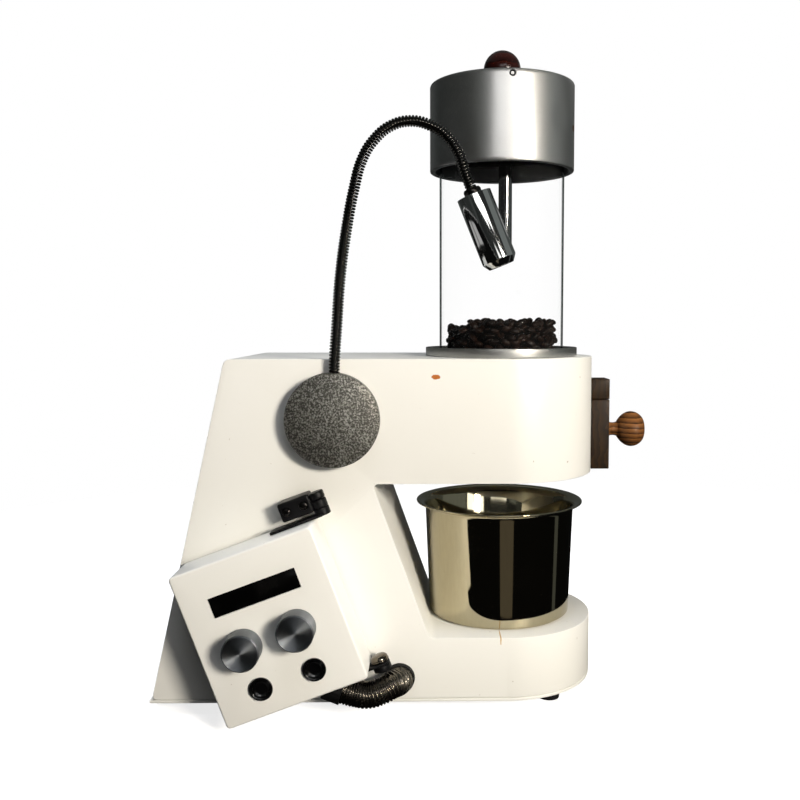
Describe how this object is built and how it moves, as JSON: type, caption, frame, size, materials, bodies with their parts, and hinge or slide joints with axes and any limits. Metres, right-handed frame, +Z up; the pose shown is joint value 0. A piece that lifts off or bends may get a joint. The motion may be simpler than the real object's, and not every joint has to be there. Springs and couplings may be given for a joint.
{
  "type": "coffee bean roaster",
  "caption": "Countertop hot-air coffee bean roaster: C-shaped housing, glass chamber with lift-off cap, pull gate over a pot, swing-out control box and gooseneck lamp.",
  "frame": {"origin": "middle of the bounding box's underside, on the table under the feet", "axes": "+Z up, +X from the tall column towards the round end with the gate knob, -Y towards the viewer and the control box"},
  "size_m": [0.3962, 0.2118, 0.5232],
  "materials": {
    "cream": "satin cream powder coat",
    "satin_aluminium": "finely turned satin",
    "steel": "plain",
    "pot_steel": "polished stainless steel",
    "chrome": "bright",
    "black_chrome": "black nickel",
    "black_gloss": "gloss black",
    "black_satin": "satin black",
    "black_plastic": "black",
    "rubber": "black",
    "glass": "clear",
    "red_wood": "dark red-brown gloss lacquer",
    "walnut": "dark oiled",
    "striped_wood": "striped grain, oiled",
    "cast_grey": "rough cast grey",
    "ceramic": "fired ceramic, white",
    "board_green": "solder mask",
    "motor_grey": "grey"
  },
  "bodies": {
    "body": {"body_shell": "cream", "bottom_plate": "cream", "foot_left_front": "rubber", "foot_left_back": "rubber", "foot_right_front": "rubber", "foot_right_back": "rubber", "mains_inlet": "black_plastic", "bean_funnel": "steel", "chamber_ring": "satin_aluminium", "chamber_seal": "rubber", "glass_tube": "glass", "gate_housing": "steel", "wood_block_lower": "walnut", "wood_block_upper": "walnut", "heater_tube": "steel", "heater_core": "ceramic", "blower_housing": "black_plastic", "blower_motor": "motor_grey", "power_board": "board_green", "heat_sink": "satin_aluminium", "hinge_block": "black_satin", "hinge_screw_1": "steel", "hinge_screw_2": "steel", "hinge_pin_upper": "black_satin", "pivot_post": "black_satin", "grommet": "rubber", "conduit": "black_chrome"},
    "cap": {"cap_shell": "satin_aluminium", "cap_set_screw": "steel", "centre_rod": "chrome", "ball_knob": "red_wood", "chaff_screen": "steel"},
    "gate": {"gate_carriage": "steel", "gate_rod": "steel", "gate_knob": "striped_wood"},
    "pot": {"bean_pot": "pot_steel"},
    "blower_wheel": {"blower_impeller": "black_plastic"},
    "control_box": {"box_shell": "cream", "box_back_plate": "cream", "display_window": "black_gloss", "display_module": "board_green", "control_board": "board_green", "encoder_left": "steel", "encoder_right": "steel", "button_bezel_left": "black_gloss", "button_bezel_right": "black_gloss", "hinge_leaf_upper": "black_satin", "hinge_leaf_lower": "black_satin", "pivot_pin": "chrome", "conduit_elbow": "black_plastic"},
    "dial_left": {"dial_left": "satin_aluminium"},
    "dial_right": {"dial_right": "satin_aluminium"},
    "button_left": {"button_cap_left": "black_gloss"},
    "button_right": {"button_cap_right": "black_gloss"},
    "lamp": {"lamp_disc": "cast_grey", "lamp_neck": "black_chrome", "lamp_head": "chrome", "lamp_lens": "glass"}
  },
  "joints": [
    {"name": "cap_lift", "type": "slide", "parent": "body", "child": "cap", "axis": [0, 0, 1], "range_m": [0, 0.12]},
    {"name": "gate_pull", "type": "slide", "parent": "body", "child": "gate", "axis": [1, 0, 0], "range_m": [0, 0.042]},
    {"name": "pot_slide", "type": "slide", "parent": "body", "child": "pot", "axis": [0, -1, 0], "range_m": [0, 0.15]},
    {"name": "blower_spin", "type": "hinge", "parent": "body", "child": "blower_wheel", "pos_m": [-0.09438, 0.02865, 0.1714], "axis": [0, 1, 0], "continuous": true},
    {"name": "box_swing", "type": "hinge", "parent": "body", "child": "control_box", "pos_m": [-0.0402, -0.06135, 0.10321], "axis": [-0.3464, 0, 0.9381], "range_deg": [0, 90], "deforming": ["conduit"]},
    {"name": "dial_left_turn", "type": "hinge", "parent": "control_box", "child": "dial_left", "pos_m": [-0.11553, -0.09635, 0.06963], "axis": [0, -1, 0], "range_deg": [-150, 150]},
    {"name": "dial_right_turn", "type": "hinge", "parent": "control_box", "child": "dial_right", "pos_m": [-0.07707, -0.09635, 0.08384], "axis": [0, -1, 0], "range_deg": [-150, 150]},
    {"name": "button_left_press", "type": "slide", "parent": "control_box", "child": "button_left", "axis": [0, 1, 0], "range_m": [0, 0.0025], "stiffness_N_per_m": 500, "springref_m": -0.002},
    {"name": "button_right_press", "type": "slide", "parent": "control_box", "child": "button_right", "axis": [0, 1, 0], "range_m": [0, 0.0025], "stiffness_N_per_m": 500, "springref_m": -0.002},
    {"name": "lamp_swivel", "type": "hinge", "parent": "body", "child": "lamp", "pos_m": [-0.05498, -0.05235, 0.2289], "axis": [0, -1, 0], "range_deg": [-10, 60]}
  ]
}
